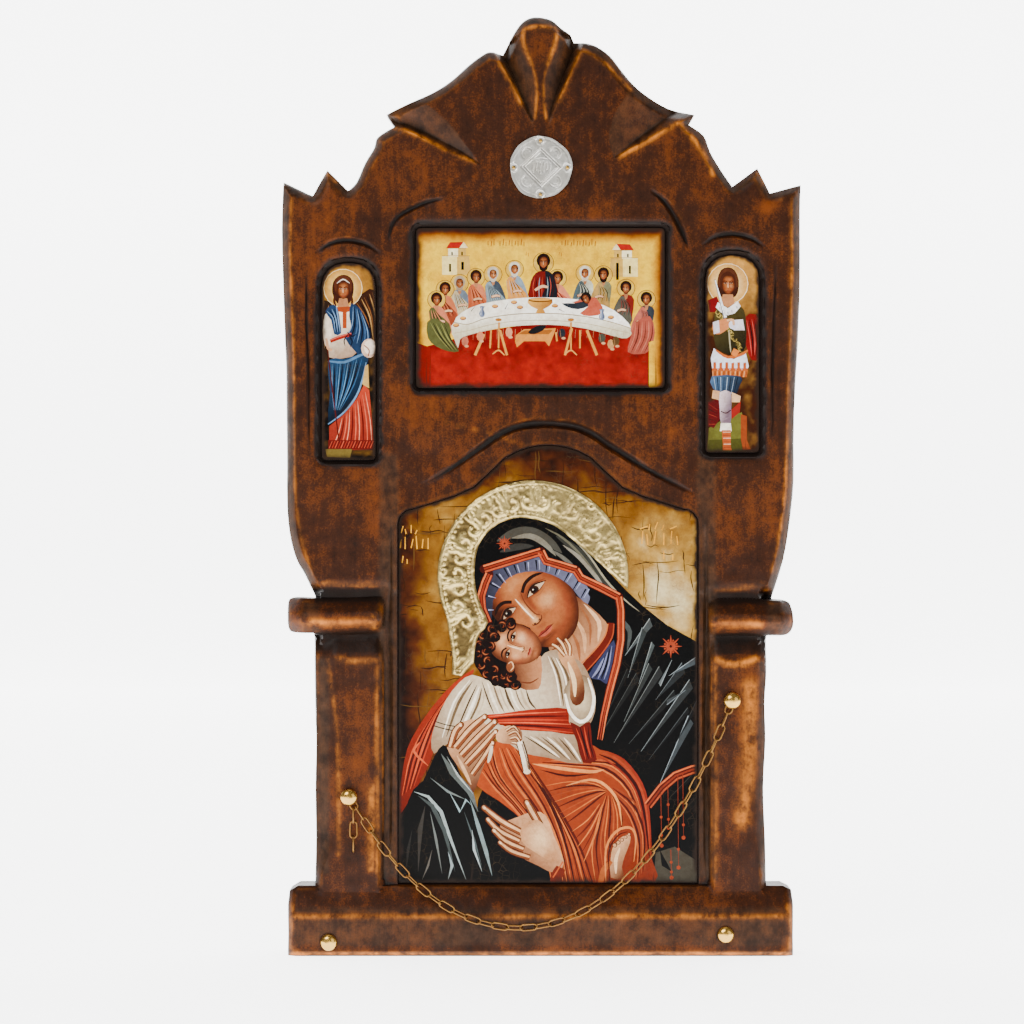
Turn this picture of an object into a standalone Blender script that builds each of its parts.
"""A carved wooden icon board: pictures set in recesses, a metal halo, a medallion, domed nails and a chain.

Metres, +Z up. The carved face looks along -Y. The origin is the middle of the plinth's underside.
Depths are measured forwards from the flat back of the board.
"""

import math

import bmesh
import bpy
from mathutils import Matrix, Vector

mm = 0.001

# Free space between pieces that rest on each other
GAP = 0.3 * mm
SHARP_CORNER = math.radians(35)

# Upper board, the part that is carved freely above the capitals
BOARD_HEIGHT = 560 * mm
FLANK_WIDTH = 310 * mm
FIELD_DEPTH = 38 * mm
FIELD_BEVEL = 3.5 * mm
FIELD_BEVEL_DEPTH = 6 * mm

# Plinth
PLINTH_WIDTH = 301 * mm
PLINTH_HEIGHT = 41.5 * mm
PLINTH_DEPTH = 48 * mm
PLINTH_FACE_TOP = 23.5 * mm
PLINTH_SLOPE_DEPTH = 9 * mm
PLINTH_FOOT_CHAMFER = 3 * mm
PLINTH_END_BEVEL = 6 * mm
PLINTH_END_STEPS = 4

# Columns beside the niche
COLUMN_OUTSIDE = 269 * mm
COLUMN_WIDTH = 41 * mm
COLUMN_DEPTH = 42 * mm
COLUMN_OUTER_BEVEL = 12 * mm
COLUMN_INNER_BEVEL = 3 * mm
COLUMN_TOP_BEVEL = 12 * mm
COLUMN_FOOT_FLARE = 8 * mm
COLUMN_WAIST_RISE = 32 * mm
JAMB_DEPTH = 37 * mm

# Capitals over the columns
CAPITAL_HEIGHT = 22 * mm
CAPITAL_REACH = 16.5 * mm
CAPITAL_DEPTH = 46 * mm
CAPITAL_MIDDLE_Z = 201 * mm
CAPITAL_BEVEL = 8 * mm
CAPITAL_END_BEVEL = 9 * mm

# Niche and the picture in it
NICHE_WIDTH = 179 * mm
NICHE_MIDDLE_X = 4.5 * mm
NICHE_SHOULDER_Z = 266 * mm
NICHE_RISE = 38 * mm
NICHE_FLOOR_DEPTH = 32.5 * mm
NICHE_FOOT = 1 * mm

# The three recesses above it: the upper one's middle as a share of the height above the capitals, and how far
# the side ones' middles hang below that
UPPER_WIDTH = 154 * mm
UPPER_HEIGHT = 101 * mm
UPPER_RISE = 0.5
SIDE_WIDTH = 37.5 * mm
SIDE_HEIGHT = 123 * mm
SIDE_X = 114.5 * mm
LEFT_DROP = 32 * mm
RIGHT_DROP = 27.5 * mm
RECESS_FLOOR_DEPTH = 33.5 * mm
RECESS_SLOPE = 2.5 * mm
PICTURE_THICKNESS = 1.2 * mm

# Metal plates
HALO_RADIUS = 57 * mm
HALO_LEFT_OF_MIDDLE = 9 * mm
HALO_BELOW_SHOULDER = 40 * mm
HALO_THICKNESS = 0.5 * mm
MEDALLION_RADIUS = 18.5 * mm
MEDALLION_THICKNESS = 1.0 * mm
MEDALLION_ABOVE_PICTURE = 33 * mm
MEDALLION_NAIL_CIRCLE = 16 * mm
SMALL_NAIL_HEAD = 1.1 * mm
SMALL_NAIL_CROWN = 0.9 * mm
SMALL_NAIL_HEAD_HEIGHT = 0.5 * mm
SMALL_NAIL_SHANK = 0.5 * mm
SMALL_NAIL_LENGTH = 6 * mm

# Domed nails
DOME_RADIUS = 5.1 * mm
DOME_HEIGHT = 3.3 * mm
DOME_SHANK = 0.8 * mm
DOME_NAIL_LENGTH = 12 * mm
LEFT_COLUMN_NAIL_Z = 94.5 * mm
RIGHT_COLUMN_NAIL_Z = 152 * mm
PLINTH_NAILS = {"left": (-126 * mm, 8.5 * mm), "right": (110 * mm, 13 * mm)}

# Chain
LINK_LENGTH = 10.8 * mm
LINK_WIDTH = 5.2 * mm
LINK_WIRE = 1.0 * mm
SWAG_LINKS = 38
TAIL_LINKS = 3
HOOK_LEAN = math.radians(30)
CHAIN_TURN = math.radians(30)

# What follows from the sizes above
BACK_Y = PLINTH_DEPTH / 2
COLUMN_X = (COLUMN_OUTSIDE - COLUMN_WIDTH) / 2
NICHE_FOOT_Z = PLINTH_HEIGHT + NICHE_FOOT
FLANK_FOOT_Z = CAPITAL_MIDDLE_Z + CAPITAL_HEIGHT / 2
UPPER_Z = FLANK_FOOT_Z + UPPER_RISE * (BOARD_HEIGHT - FLANK_FOOT_Z)
LEFT_Z = UPPER_Z - LEFT_DROP
RIGHT_Z = UPPER_Z - RIGHT_DROP
MEDALLION_Z = UPPER_Z + UPPER_HEIGHT / 2 + MEDALLION_ABOVE_PICTURE
LINK_PITCH = LINK_LENGTH - 2 * LINK_WIRE - GAP
LINK_BEND = (LINK_WIDTH - LINK_WIRE) / 2
LINK_REACH = (LINK_LENGTH - LINK_WIRE) / 2
CHAIN_LIFT = LINK_WIDTH / 2 + GAP
DOME_LIFT = CHAIN_LIFT + LINK_WIRE / 2 + 2 * GAP

# The free outline is drawn in millimetres on a sheet of this size and scaled to the board
SHEET_HALF_WIDTH = 155
SHEET_FOOT = 212
SHEET_TOP = 560

LEFT_SIDE = [(-134, 212), (-140.5, 226.5), (-145.5, 235.5), (-149, 247.5), (-151, 262.5),
             (-151.5, 283), (-152, 346.5), (-153.5, 394.5), (-154.5, 432.5), (-153.5, 461.5)]
LEFT_SPIKES = [(-136, 453), (-127.5, 468.5), (-115, 456)]
LEFT_SHOULDER = [(-115, 456), (-110, 461.5), (-105, 473), (-99.5, 482), (-98, 487.5), (-93.5, 491),
                 (-87, 494.5)]
LEFT_LOBE = [(-92, 502), (-79, 508), (-63.5, 515), (-53.5, 522), (-43, 531.5), (-35, 537.5), (-30, 539.5),
             (-22.5, 537.5)]
MIDDLE_LOBE = [(-22.5, 537.5), (-17.5, 547), (-12.5, 555), (-7.5, 559), (-1.5, 560), (6.5, 558), (12.5, 553),
               (18, 549), (20, 545)]
RIGHT_LOBE = [(20, 545), (27.5, 544.5), (34, 542.5), (41.5, 537), (47.5, 529.5), (55.5, 519.5), (64, 512.5),
              (76.5, 505.5), (92, 501.5)]
RIGHT_SHOULDER = [(88.5, 495.5), (97.5, 489), (101.5, 479), (108, 468), (114.5, 458.5)]
RIGHT_SPIKES = [(129.5, 469.5), (137, 454.5), (155.5, 459.5)]
RIGHT_SIDE = [(155.5, 459.5), (155, 444), (155, 404), (154, 366), (151.5, 323), (151.5, 283), (149, 259.5),
              (145, 235.5), (138, 212)]

# The wedges cut into the crown: inner tip, then the gentle edge, the crease and the steep edge at the outline
CROWN_WEDGES = {
    "outer_left": ((-36, 471), (-79, 508), (-87.5, 496), (-89, 493), 9),
    "inner_left": ((-3, 500), (-9.5, 551), (-22.5, 537.5), (-27, 537), 11),
    "inner_right": ((5.5, 500), (10, 550), (20, 545), (25, 543), 11),
    "outer_right": ((44, 475), (56, 517), (82, 504), (87, 497), 10),
}

WALNUT = (0.20, 0.075, 0.025, 1.0)
PICTURE_COLOURS = {
    "main_picture": (0.30, 0.17, 0.08, 1.0),
    "upper_picture": (0.65, 0.38, 0.10, 1.0),
    "left_picture": (0.25, 0.14, 0.12, 1.0),
    "right_picture": (0.38, 0.22, 0.10, 1.0),
}
PALE_GILT = (0.72, 0.66, 0.46, 1.0)
SILVER = (0.62, 0.61, 0.58, 1.0)
BRASS = (0.72, 0.56, 0.24, 1.0)
AGED_BRASS = (0.45, 0.27, 0.11, 1.0)


def clear_scene():
    for item in list(bpy.data.objects):
        bpy.data.objects.remove(item)


def new_collection(name):
    collection = bpy.data.collections.new(name)
    bpy.context.scene.collection.children.link(collection)
    return collection


def new_material(name, colour, roughness, metallic=0.0):
    material = bpy.data.materials.new(name)
    material.use_nodes = True
    shader = material.node_tree.nodes["Principled BSDF"]
    shader.inputs["Base Color"].default_value = colour
    shader.inputs["Roughness"].default_value = roughness
    shader.inputs["Metallic"].default_value = metallic
    return material


def add_object(name, mesh, collection, material=None, matrix=None):
    item = bpy.data.objects.new(name, mesh)
    collection.objects.link(item)
    if material and not mesh.materials:
        mesh.materials.append(material)
    if matrix:
        item.matrix_world = matrix
    return item


def finished_mesh(name, shape):
    """The bmesh as a mesh, its faces pointing outwards and smooth except across its corners."""
    bmesh.ops.recalc_face_normals(shape, faces=shape.faces)
    mesh = bpy.data.meshes.new(name)
    shape.to_mesh(mesh)
    shape.free()
    mesh.shade_smooth()
    mesh.set_sharp_from_angle(angle=SHARP_CORNER)
    return mesh


def at(x, z, depth):
    """The point at x, z that stands depth in front of the back of the board."""
    return Vector((x, BACK_Y - depth, z))


def facing_front(x, z, depth):
    """A matrix that puts a turned piece's axis along -Y, its zero at this depth."""
    return Matrix.Translation(at(x, z, depth)) @ Matrix.Rotation(math.pi / 2, 4, "X")


def on_board(points):
    """Points of the free outline, from the drawing's millimetres to the board's size."""
    wide = FLANK_WIDTH / 2 / SHEET_HALF_WIDTH
    tall = (BOARD_HEIGHT - FLANK_FOOT_Z) / (SHEET_TOP - SHEET_FOOT)
    return [(x * wide, FLANK_FOOT_Z + (z - SHEET_FOOT) * tall) for x, z in points]


def smooth_line(points, steps=2):
    """A Catmull-Rom curve through the points, with steps stretches between each two."""
    knots = [Vector(p) for p in points]
    knots = [2 * knots[0] - knots[1]] + knots + [2 * knots[-1] - knots[-2]]
    line = []
    for a, b, c, d in zip(knots, knots[1:], knots[2:], knots[3:]):
        for i in range(steps):
            t = i / steps
            bend = (2 * a - 5 * b + 4 * c - d) * t**2 + (3 * b - a - 3 * c + d) * t**3
            line.append(b + 0.5 * ((c - a) * t + bend))
    line.append(knots[-2])
    return [tuple(p) for p in line]


def offset_outline(outline, distance):
    """The closed outline, run anticlockwise, moved inwards by distance."""
    moved = []
    for before, here, after in zip(outline[-1:] + outline[:-1], outline, outline[1:] + outline[:1]):
        first = (Vector(here) - Vector(before)).normalized()
        second = (Vector(after) - Vector(here)).normalized()
        inward = Vector((-first.y, first.x)) + Vector((-second.y, second.x))
        inward.normalize()
        mitre = max(0.5, inward.dot(Vector((-second.y, second.x))))
        moved.append(tuple(Vector(here) + inward * distance / mitre))
    return moved


def layered_block(name, rings):
    """A closed solid through rings of (outline, depth), each outline with as many points as the last."""
    shape = bmesh.new()
    outline, depth = rings[0]
    ring = [shape.verts.new(at(x, z, depth)) for x, z in outline]
    face = shape.faces.new(ring)
    for step, (outline, depth) in enumerate(rings[1:]):
        place = {v.co.to_tuple(6): i for i, v in enumerate(ring)}
        grown = bmesh.ops.extrude_face_region(shape, geom=[face])
        if step:
            bmesh.ops.delete(shape, geom=[face], context="FACES_ONLY")
        face = next(item for item in grown["geom"] if isinstance(item, bmesh.types.BMFace))
        ring = sorted(face.verts, key=lambda v: place[v.co.to_tuple(6)])
        for vertex, (x, z) in zip(ring, outline):
            vertex.co = at(x, z, depth)
    return finished_mesh(name, shape)


def rectangle(left, right, foot, top):
    return [(left, foot), (right, foot), (right, top), (left, top)]


def arc(centre_x, centre_z, radius, start, end, steps):
    """Points on a circle from one angle to another, in degrees."""
    angles = [math.radians(start + (end - start) * i / steps) for i in range(steps + 1)]
    return [(centre_x + radius * math.cos(a), centre_z + radius * math.sin(a)) for a in angles]


def rounded_rectangle(middle_x, middle_z, width, height, lower, upper, steps=4):
    """An outline with one radius at its lower corners and another at its upper ones."""
    left, right = middle_x - width / 2, middle_x + width / 2
    foot, top = middle_z - height / 2, middle_z + height / 2
    return (arc(left + lower, foot + lower, lower, 180, 270, steps)
            + arc(right - lower, foot + lower, lower, 270, 360, steps)
            + arc(right - upper, top - upper, upper, 0, 90, steps)
            + arc(left + upper, top - upper, upper, 90, 180, steps))


def board_outline():
    """The outline of the upper board, anticlockwise from its right foot."""
    right_to_left = (smooth_line(on_board(RIGHT_SIDE[::-1]))
                     + on_board(RIGHT_SPIKES[1::-1])
                     + smooth_line(on_board(RIGHT_SHOULDER[::-1]))
                     + smooth_line(on_board(RIGHT_LOBE[::-1]))
                     + smooth_line(on_board(MIDDLE_LOBE[::-1]))[1:]
                     + smooth_line(on_board(LEFT_LOBE[::-1]))[1:]
                     + smooth_line(on_board(LEFT_SHOULDER[::-1]))
                     + on_board(LEFT_SPIKES[1::-1])
                     + smooth_line(on_board(LEFT_SIDE[::-1])))
    return right_to_left


def niche_outline():
    """The niche: straight sides, rounded shoulders and an ogee that rises to the middle."""
    half = NICHE_WIDTH / 2
    left, right = NICHE_MIDDLE_X - half, NICHE_MIDDLE_X + half
    corner = 9 * mm
    shoulder = NICHE_SHOULDER_Z
    ogee = [(share * (half - corner), shoulder + rise * NICHE_RISE)
            for share, rise in [(1, 0.0), (0.82, 0.12), (0.55, 0.34), (0.32, 0.80), (0.13, 0.97), (0, 1.0)]]
    right_half = smooth_line([(NICHE_MIDDLE_X + x, z) for x, z in ogee])
    left_half = [(2 * NICHE_MIDDLE_X - x, z) for x, z in right_half[-2::-1]]
    return ([(left, NICHE_FOOT_Z), (right, NICHE_FOOT_Z)]
            + arc(right - corner, shoulder - corner, corner, 0, 90, 4)[:-1]
            + right_half + left_half
            + arc(left + corner, shoulder - corner, corner, 90, 180, 4)[1:])


def recess_outlines():
    """The three recesses above the niche, by name."""
    return {
        "upper_picture": rounded_rectangle(0, UPPER_Z, UPPER_WIDTH, UPPER_HEIGHT, 5 * mm, 5 * mm, 3),
        "left_picture": rounded_rectangle(-SIDE_X, LEFT_Z, SIDE_WIDTH, SIDE_HEIGHT, 5 * mm, 16 * mm),
        "right_picture": rounded_rectangle(SIDE_X, RIGHT_Z, SIDE_WIDTH, SIDE_HEIGHT, 5 * mm, 16 * mm),
    }


def upper_board_mesh():
    outline = board_outline()
    rings = [(outline, 0), (outline, FIELD_DEPTH - FIELD_BEVEL_DEPTH),
             (offset_outline(outline, FIELD_BEVEL), FIELD_DEPTH)]
    return layered_block("upper_board", rings)


def lower_board_mesh():
    """The flat ground behind the columns, from inside the plinth up into the upper board."""
    half = COLUMN_OUTSIDE / 2 - COLUMN_INNER_BEVEL
    outline = rectangle(-half, half, PLINTH_HEIGHT / 2, FLANK_FOOT_Z + CAPITAL_HEIGHT)
    return layered_block("lower_board", [(outline, 0), (outline, JAMB_DEPTH)])


def plinth_mesh():
    """The plinth: its front slopes in towards the top, and its ends are rounded into the front by hand."""

    def ring(slope, foot):
        half = PLINTH_WIDTH / 2 - PLINTH_END_BEVEL * (1 - math.sqrt(1 - slope**2))
        top = PLINTH_HEIGHT + slope * (PLINTH_FACE_TOP - PLINTH_HEIGHT)
        corner = PLINTH_END_BEVEL
        outline = [(-half, foot), (half, foot), (half, top - corner), (half - corner, top),
                   (corner - half, top), (-half, top - corner)]
        return outline, PLINTH_DEPTH + (slope - 1) * PLINTH_SLOPE_DEPTH

    foot_start = 1 - PLINTH_FOOT_CHAMFER / PLINTH_SLOPE_DEPTH
    rounding = [ring(foot_start * i / PLINTH_END_STEPS, 0) for i in range(PLINTH_END_STEPS + 1)]
    back = (rounding[0][0], 0)
    return layered_block("plinth", [back] + rounding + [ring(1, PLINTH_FOOT_CHAMFER)])


def column_mesh(side):
    """A column with a wide bevel on its outer side that dies away into a flared foot."""
    outer = side * COLUMN_OUTSIDE / 2
    inner = side * (COLUMN_OUTSIDE / 2 - COLUMN_WIDTH)
    foot, waist = PLINTH_HEIGHT - FIELD_BEVEL, PLINTH_HEIGHT + COLUMN_WAIST_RISE
    top = CAPITAL_MIDDLE_Z - CAPITAL_HEIGHT / 2
    body = [(outer, foot), (inner, foot), (inner, waist), (inner, top), (outer, top), (outer, waist)]
    face_outer = outer - side * COLUMN_OUTER_BEVEL
    face_inner = inner + side * COLUMN_INNER_BEVEL
    face_top = top - COLUMN_TOP_BEVEL
    face = [(face_outer + side * COLUMN_FOOT_FLARE, foot + FIELD_BEVEL), (face_inner, foot + FIELD_BEVEL),
            (face_inner, waist), (face_inner, face_top), (face_outer, face_top), (face_outer, waist)]
    shoulder = COLUMN_DEPTH - COLUMN_TOP_BEVEL / 2
    rings = [(body, 0), (body, shoulder), (face, COLUMN_DEPTH)]
    if side > 0:
        rings = [(outline[::-1], depth) for outline, depth in rings]
    return layered_block("column", rings)


def capital_mesh(side):
    """A bar across the head of a column, bevelled to a narrow front face, its end standing out beside it."""
    outer = side * (COLUMN_OUTSIDE / 2 + CAPITAL_REACH)
    inner = side * (COLUMN_OUTSIDE / 2 - COLUMN_WIDTH)
    foot, top = CAPITAL_MIDDLE_Z - CAPITAL_HEIGHT / 2, CAPITAL_MIDDLE_Z + CAPITAL_HEIGHT / 2
    left, right = min(outer, inner), max(outer, inner)
    body = rectangle(left, right, foot, top)
    left_bevel, right_bevel = ((CAPITAL_END_BEVEL, COLUMN_INNER_BEVEL) if side < 0
                               else (COLUMN_INNER_BEVEL, CAPITAL_END_BEVEL))
    face = rectangle(left + left_bevel, right - right_bevel, foot + CAPITAL_BEVEL, top - CAPITAL_BEVEL)
    return layered_block("capital", [(body, 0), (body, CAPITAL_DEPTH - CAPITAL_BEVEL), (face, CAPITAL_DEPTH)])


def recess_cutter(name, outline, floor_depth, slope):
    """A cutter that narrows towards the recess's floor and stands clear of the front of the board."""
    clear = 2 * PLINTH_DEPTH
    floor = offset_outline(outline, slope)
    return layered_block(name, [(floor, floor_depth), (outline, FIELD_DEPTH), (outline, clear)])


def wedge_cutter(name, tip, gentle, crease, steep, depth):
    """The hull that cuts one wedge of the crown. It starts at its tip and deepens past the outline."""
    beyond = 1.25
    (tip_at,) = on_board([tip])
    low, high = [at(*tip_at, FIELD_DEPTH - GAP)], [at(*tip_at, FIELD_DEPTH + depth * mm)]
    for edge, drop in zip(on_board([gentle, crease, steep]), (0, depth * mm, 0)):
        x, z = (t + (e - t) * beyond for t, e in zip(tip_at, edge))
        low.append(at(x, z, FIELD_DEPTH - drop * beyond))
        high.append(at(x, z, FIELD_DEPTH + depth * mm))
    shape = bmesh.new()
    corners = [shape.verts.new(p) for p in low + high]
    hull = bmesh.ops.convex_hull(shape, input=corners)
    unused = [v for v in hull["geom_interior"] if isinstance(v, bmesh.types.BMVert)]
    bmesh.ops.delete(shape, geom=unused, context="VERTS")
    return finished_mesh(name, shape)


def groove_cutter(name, points, half_width, depth, collection):
    """A gouge cut along the points, tapering to nothing at both ends, with its middle in the surface."""
    line = smooth_line(points)
    curve = bpy.data.curves.new(name, "CURVE")
    curve.dimensions = "3D"
    curve.bevel_depth = half_width
    curve.bevel_resolution = 1
    curve.use_fill_caps = True
    spline = curve.splines.new("POLY")
    spline.points.add(len(line) - 1)
    for i, (point, (x, z)) in enumerate(zip(spline.points, line)):
        point.co = (*at(x, z, depth), 1)
        point.radius = max(0.12, math.sin(math.pi * i / (len(line) - 1)) ** 0.6)
    tube = add_object(name, curve, collection)
    bpy.context.view_layer.update()
    mesh = bpy.data.meshes.new_from_object(tube.evaluated_get(bpy.context.evaluated_depsgraph_get()))
    mesh.name = name
    place = tube.matrix_world.copy()
    bpy.data.objects.remove(tube)
    shape = bmesh.new()
    shape.from_mesh(mesh)
    bmesh.ops.remove_doubles(shape, verts=shape.verts, dist=0.01 * mm)
    bmesh.ops.recalc_face_normals(shape, faces=shape.faces)
    shape.to_mesh(mesh)
    shape.free()
    return add_object(name, mesh, collection, matrix=place)


def hole_cutter(radius, x, z, face_depth, length):
    """A drilled hole with its flats at that radius, from just in front of the face inwards."""
    shape = bmesh.new()
    overshoot = 1 * mm
    corner = radius / math.cos(math.pi / 6)
    bmesh.ops.create_cone(shape, cap_ends=True, segments=6, radius1=corner, radius2=corner,
                          depth=length + overshoot,
                          matrix=facing_front(x, z, face_depth + (overshoot - length) / 2))
    return finished_mesh("nail_hole", shape)


def turned_nail(name, profile, steps, collection, material, matrix):
    """A nail turned about Z from its outer profile of radius and height, given from the top down."""
    shape = bmesh.new()
    points = [shape.verts.new((radius, 0, height)) for radius, height in profile]
    for pair in zip(points, points[1:]):
        shape.edges.new(pair)
    mesh = bpy.data.meshes.new(name)
    shape.to_mesh(mesh)
    shape.free()
    nail = add_object(name, mesh, collection, material, matrix)
    turning = nail.modifiers.new("turned about Z", "SCREW")
    turning.steps = turning.render_steps = steps
    turning.use_merge_vertices = True
    turning.merge_threshold = 0.01 * mm
    return nail


def dome_profile(lift):
    """A domed head whose underside is at zero, and a shank that reaches into the wood under its lift."""
    angles = [math.radians(a) for a in (90, 58, 28, 0)]
    dome = [(DOME_RADIUS * math.cos(a), DOME_HEIGHT * math.sin(a)) for a in angles]
    tip = -(lift + DOME_NAIL_LENGTH)
    return dome + [(DOME_SHANK, 0), (DOME_SHANK, tip), (0, tip)]


def small_nail_profile():
    """A small nail for the medallion, its head's underside at zero."""
    tip = -(SMALL_NAIL_LENGTH + MEDALLION_THICKNESS + GAP)
    head = [(0, SMALL_NAIL_HEAD_HEIGHT), (SMALL_NAIL_CROWN, SMALL_NAIL_HEAD_HEIGHT), (SMALL_NAIL_HEAD, 0)]
    return head + [(SMALL_NAIL_SHANK, 0), (SMALL_NAIL_SHANK, tip), (0, tip)]


def dome_nail_places():
    """Where each domed nail stands: x, z, the wood's depth there and the lift of its head above the wood."""
    return {
        "left_column_nail": (-COLUMN_X, LEFT_COLUMN_NAIL_Z, COLUMN_DEPTH, DOME_LIFT),
        "right_column_nail": (COLUMN_X, RIGHT_COLUMN_NAIL_Z, COLUMN_DEPTH, DOME_LIFT),
        "left_plinth_nail": (*PLINTH_NAILS["left"], PLINTH_DEPTH, GAP),
        "right_plinth_nail": (*PLINTH_NAILS["right"], PLINTH_DEPTH, GAP),
    }


def medallion_nail_places():
    """The four nails of the medallion, at its top, left, foot and right."""
    sides = {"top": (0, 1), "left": (-1, 0), "foot": (0, -1), "right": (1, 0)}
    return {f"medallion_{name}_nail": (x * MEDALLION_NAIL_CIRCLE, MEDALLION_Z + z * MEDALLION_NAIL_CIRCLE)
            for name, (x, z) in sides.items()}


def groove_lines():
    """The gouged lines of the carving: their points, and the half width of the gouge in millimetres."""
    brow = [(-0.85, 0.37), (-0.68, 0.58), (-0.49, 0.90), (-0.30, 1.21), (-0.11, 1.33), (0.11, 1.33),
            (0.27, 1.21), (0.47, 0.92), (0.66, 0.63), (0.83, 0.42), (0.97, 0.26)]
    lines = {"niche_brow": ([(NICHE_MIDDLE_X + x * NICHE_WIDTH / 2, NICHE_SHOULDER_Z + z * NICHE_RISE)
                             for x, z in brow], 2.6)}

    corner_left, corner_right = -UPPER_WIDTH / 2, UPPER_WIDTH / 2
    corner_z = UPPER_Z + UPPER_HEIGHT / 2
    left_curl = [(-14, -11), (-12, -2), (-8, 4), (-1.5, 8), (8, 12), (20, 15)]
    right_curl = [(-12, 20), (-4, 13.5), (2, 5), (7, -5), (11, -15)]
    lines["upper_left_curl"] = ([(corner_left + x * mm, corner_z + z * mm) for x, z in left_curl], 1.6)
    lines["upper_right_curl"] = ([(corner_right + x * mm, corner_z + z * mm) for x, z in right_curl], 1.9)

    arc_shape = [(-0.51, 3), (-0.29, 8.5), (0, 10.5), (0.29, 8), (0.51, 2.5)]
    rule_shape = [(6.5, 0.45), (6, 0.16), (5, -0.16), (5, -0.47)]
    for name, side, middle_z in (("left", -1, LEFT_Z), ("right", 1, RIGHT_Z)):
        head_z = middle_z + SIDE_HEIGHT / 2
        outer_x = SIDE_X + SIDE_WIDTH / 2
        curved = [(side * SIDE_X + x * SIDE_WIDTH, head_z + z * mm) for x, z in arc_shape]
        straight = [(side * (outer_x + x * mm), middle_z + z * SIDE_HEIGHT) for x, z in rule_shape]
        lines[f"{name}_arc"] = (curved, 1.7)
        lines[f"{name}_rule"] = (straight, 1.0)
    return lines


def halo_outline():
    """A broad band round the mother's head with a tail beside the child's, cut away for both heads."""
    middle_x = NICHE_MIDDLE_X - HALO_LEFT_OF_MIDDLE
    middle_z = NICHE_SHOULDER_Z - HALO_BELOW_SHOULDER
    tail = [(-0.84, -0.86), (-0.85, -1.03), (-0.75, -1.05)]
    inner = [(-0.62, -0.91), (-0.60, -0.72), (-0.55, -0.60), (-0.47, -0.49), (-0.54, -0.32),
             (-0.60, -0.12), (-0.61, 0.09), (-0.57, 0.32), (-0.44, 0.49), (-0.24, 0.60), (-0.01, 0.60),
             (0.22, 0.53), (0.43, 0.37), (0.67, 0.16)]
    drawn = tail + smooth_line(inner)
    return (arc(middle_x, middle_z, HALO_RADIUS, -8, 205, 22)
            + [(middle_x + x * HALO_RADIUS, middle_z + z * HALO_RADIUS) for x, z in drawn])


def plate_mesh(name, outline, back, thickness):
    return layered_block(name, [(outline, back), (outline, back + thickness)])


def medallion_mesh():
    """A hand-cut disc, not quite round, with a hole for each nail."""
    steps = 36
    outline = []
    for i in range(steps):
        a = 2 * math.pi * i / steps
        radius = MEDALLION_RADIUS * (1 + 0.012 * math.cos(3 * a) + 0.01 * math.sin(5 * a))
        outline.append((radius * math.cos(a), MEDALLION_Z + radius * math.sin(a)))
    return plate_mesh("medallion", outline, FIELD_DEPTH + GAP, MEDALLION_THICKNESS)


def link_mesh():
    """One oval link of round wire: a ring pulled out along X."""
    bpy.ops.mesh.primitive_torus_add(major_segments=12, minor_segments=4, major_radius=LINK_BEND,
                                     minor_radius=LINK_WIRE / 2)
    ring = bpy.context.object
    mesh = ring.data
    mesh.name = "chain_link"
    mesh.shade_smooth()
    bpy.data.objects.remove(ring)
    pull = LINK_REACH - LINK_BEND
    for vertex in mesh.vertices:
        if abs(vertex.co.x) > 0.1 * LINK_WIRE:
            vertex.co.x += math.copysign(pull, vertex.co.x)
    return mesh


def link_matrix(centre, along, turn):
    """Places a link with its length along a direction, turned about it from lying flat on the board."""
    along = along.normalized()
    front = Vector((0, -1, 0))
    normal = (front - along * front.dot(along)).normalized()
    normal.rotate(Matrix.Rotation(turn, 3, along))
    across = normal.cross(along)
    matrix = Matrix((along, across, normal)).transposed().to_4x4()
    return Matrix.Translation(centre) @ matrix


def catenary(left, right, length):
    """The hanging curve of that length between two points: a function from the distance along it to x, z."""
    span, rise = right[0] - left[0], right[1] - left[1]
    wanted = math.sqrt(length**2 - rise**2)
    low, high = span / 40, span * 40
    for _ in range(80):
        a = (low + high) / 2
        low, high = (a, high) if 2 * a * math.sinh(span / (2 * a)) > wanted else (low, a)
    lowest = span / 2 - a * math.atanh(rise / length)
    before = a * math.sinh(lowest / a)

    def point(distance):
        x = a * math.asinh((distance - before) / a)
        return left[0] + lowest + x, left[1] + a * (math.cosh(x / a) - math.cosh(lowest / a))

    return point


def chain_depth(z, nail_z):
    """The swag leaves its nail just off the column and leans out until it lies on the plinth's face."""
    share = min(1, max(0, (nail_z - z) / (nail_z - PLINTH_FACE_TOP)))
    return COLUMN_DEPTH + CHAIN_LIFT + share * (PLINTH_DEPTH - COLUMN_DEPTH)


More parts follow.
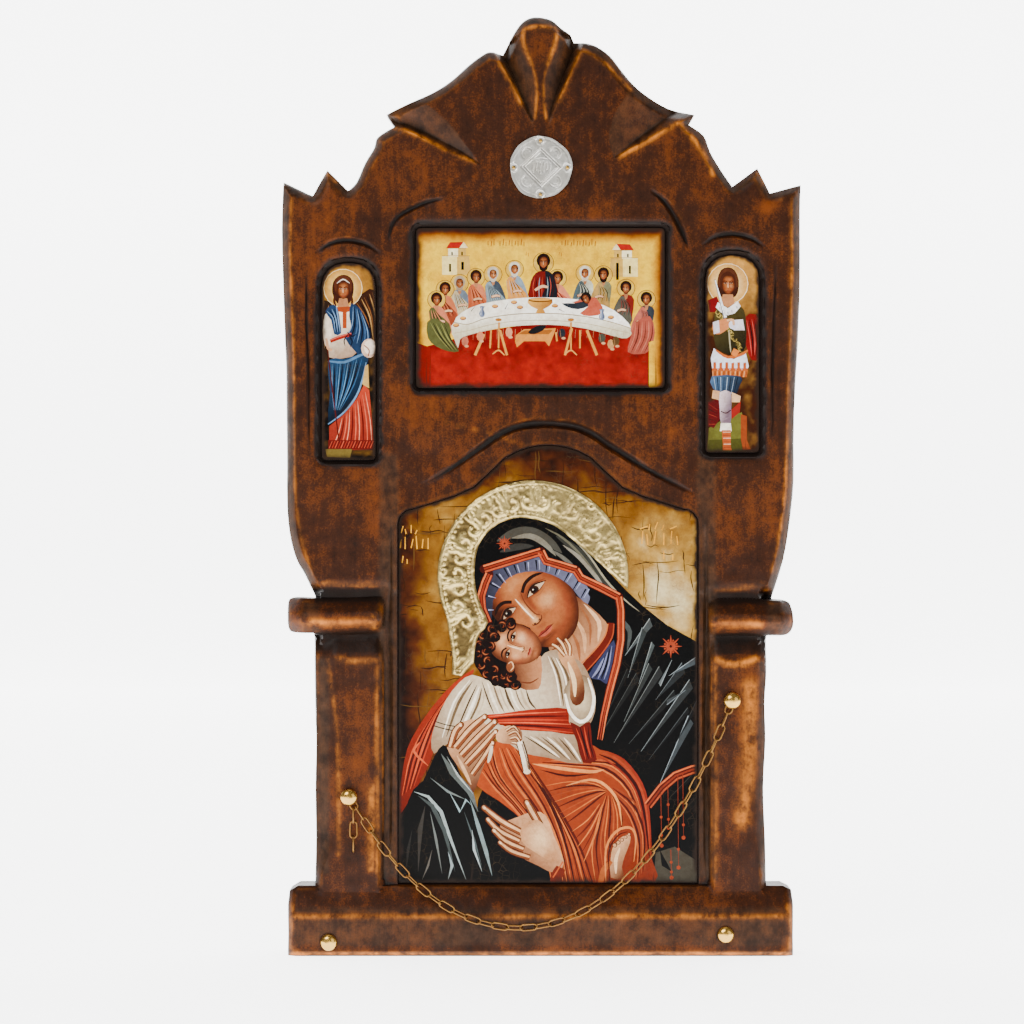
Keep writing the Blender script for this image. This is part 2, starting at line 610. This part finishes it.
def chain_places():
    """The matrix of every link: the one on the left nail, the swag and the tail that hangs below."""
    hang = LINK_LENGTH / 2 - LINK_WIRE - DOME_SHANK - GAP
    beside = LINK_WIRE / 2 + GAP / 2
    within = LINK_REACH - LINK_WIRE - 2.5 * GAP
    level = COLUMN_DEPTH + CHAIN_LIFT
    down = Vector((math.sin(HOOK_LEAN), 0, -math.cos(HOOK_LEAN)))
    across = Vector((math.cos(HOOK_LEAN), 0, math.sin(HOOK_LEAN)))
    hook = at(-COLUMN_X, LEFT_COLUMN_NAIL_Z, level) + down * hang
    places = {"hook_link": link_matrix(hook, down, 0)}

    start = hook + down * within + across * beside
    length = LINK_REACH + (SWAG_LINKS - 1) * LINK_PITCH + hang
    curve = catenary((start.x, start.z), (COLUMN_X, RIGHT_COLUMN_NAIL_Z), length)
    middle = length / 2
    for i in range(SWAG_LINKS):
        distance = LINK_REACH + i * LINK_PITCH
        nail_z = LEFT_COLUMN_NAIL_Z if distance < middle else RIGHT_COLUMN_NAIL_Z
        ends = [curve(distance + step) for step in (-LINK_PITCH / 2, LINK_PITCH / 2)]
        first, last = (at(x, z, chain_depth(z, nail_z)) for x, z in ends)
        turn = math.pi / 2 * ((i + 1) % 2) + CHAIN_TURN * math.sin(math.pi * i / (SWAG_LINKS - 1))
        places[f"swag_link_{i + 1:02d}"] = link_matrix((first + last) / 2, last - first, turn)

    plumb = Vector((0, 0, -1))
    first = hook + down * within - across * beside + plumb * LINK_REACH
    for i in range(TAIL_LINKS):
        turn = math.pi / 2 * ((i + 1) % 2)
        places[f"tail_link_{i + 1}"] = link_matrix(first + plumb * i * LINK_PITCH, plumb, turn)
    return places


def apply_boolean(target, operation, others):
    """Joins or cuts the target with every mesh in a collection."""
    change = target.modifiers.new(f"{operation.lower()} {others.name}", "BOOLEAN")
    change.operation = operation
    change.operand_type = "COLLECTION"
    change.collection = others
    change.solver = "EXACT"


def hide_helper(item):
    item.hide_render = True
    item.display_type = "WIRE"


def make_board(parts, masses, cutters, material):
    board = add_object("carved_board", upper_board_mesh(), parts, material)
    add_object("lower_board", lower_board_mesh(), masses)
    add_object("plinth", plinth_mesh(), masses)
    for side in (-1, 1):
        name = "left" if side < 0 else "right"
        add_object(f"{name}_column", column_mesh(side), masses)
        add_object(f"{name}_capital", capital_mesh(side), masses)

    for name, wedge in CROWN_WEDGES.items():
        add_object(name, wedge_cutter(name, *wedge), cutters)
    add_object("niche", recess_cutter("niche", niche_outline(), NICHE_FLOOR_DEPTH, 0), cutters)
    for name, outline in recess_outlines().items():
        add_object(f"{name}_recess", recess_cutter(name, outline, RECESS_FLOOR_DEPTH, RECESS_SLOPE), cutters)
    for name, (points, half_width) in groove_lines().items():
        groove_cutter(name, points, half_width * mm, FIELD_DEPTH, cutters)
    for name, (x, z, face, _) in dome_nail_places().items():
        add_object(f"{name}_hole", hole_cutter(DOME_SHANK + GAP, x, z, face, DOME_NAIL_LENGTH + GAP), cutters)
    for name, (x, z) in medallion_nail_places().items():
        length = SMALL_NAIL_LENGTH + GAP
        add_object(f"{name}_hole", hole_cutter(SMALL_NAIL_SHANK + GAP, x, z, FIELD_DEPTH, length), cutters)

    for helper in list(masses.objects) + list(cutters.objects):
        hide_helper(helper)
    apply_boolean(board, "UNION", masses)
    apply_boolean(board, "DIFFERENCE", cutters)


def make_pictures(parts):
    places = {"main_picture": (offset_outline(niche_outline(), GAP), NICHE_FLOOR_DEPTH + GAP)}
    for name, recess in recess_outlines().items():
        places[name] = (offset_outline(recess, RECESS_SLOPE + GAP), RECESS_FLOOR_DEPTH + GAP)
    for name, (outline, back) in places.items():
        varnished = new_material(f"{name}_print", PICTURE_COLOURS[name], 0.4)
        add_object(name, plate_mesh(name, outline, back, PICTURE_THICKNESS), parts, varnished)


def make_metal(parts, holes, silver, gilt, brass):
    back = NICHE_FLOOR_DEPTH + PICTURE_THICKNESS + 2 * GAP
    add_object("halo_plate", plate_mesh("halo_plate", halo_outline(), back, HALO_THICKNESS), parts, gilt)
    medallion = add_object("medallion", medallion_mesh(), parts, silver)
    face = FIELD_DEPTH + GAP + MEDALLION_THICKNESS
    for name, (x, z) in medallion_nail_places().items():
        hole = hole_cutter(SMALL_NAIL_SHANK + GAP, x, z, face, 2 * MEDALLION_THICKNESS)
        hide_helper(add_object(f"{name}_plate_hole", hole, holes))
        turned_nail(name, small_nail_profile(), 6, parts, brass, facing_front(x, z, face + GAP))
    apply_boolean(medallion, "DIFFERENCE", holes)
    for name, (x, z, wood, lift) in dome_nail_places().items():
        turned_nail(name, dome_profile(lift), 12, parts, brass, facing_front(x, z, wood + lift))


def make_chain(parts, material):
    link = link_mesh()
    for name, matrix in chain_places().items():
        add_object(name, link, parts, material, matrix)


def main():
    clear_scene()
    parts = new_collection("icon_board")
    masses = new_collection("board_masses")
    cutters = new_collection("board_cutters")
    holes = new_collection("medallion_holes")
    make_board(parts, masses, cutters, new_material("stained_wood", WALNUT, 0.35))
    make_pictures(parts)
    silver = new_material("silver", SILVER, 0.35, 1.0)
    gilt = new_material("pale_gilt", PALE_GILT, 0.35, 1.0)
    brass = new_material("brass", BRASS, 0.25, 1.0)
    make_metal(parts, holes, silver, gilt, brass)
    make_chain(parts, new_material("aged_brass", AGED_BRASS, 0.4, 1.0))


main()
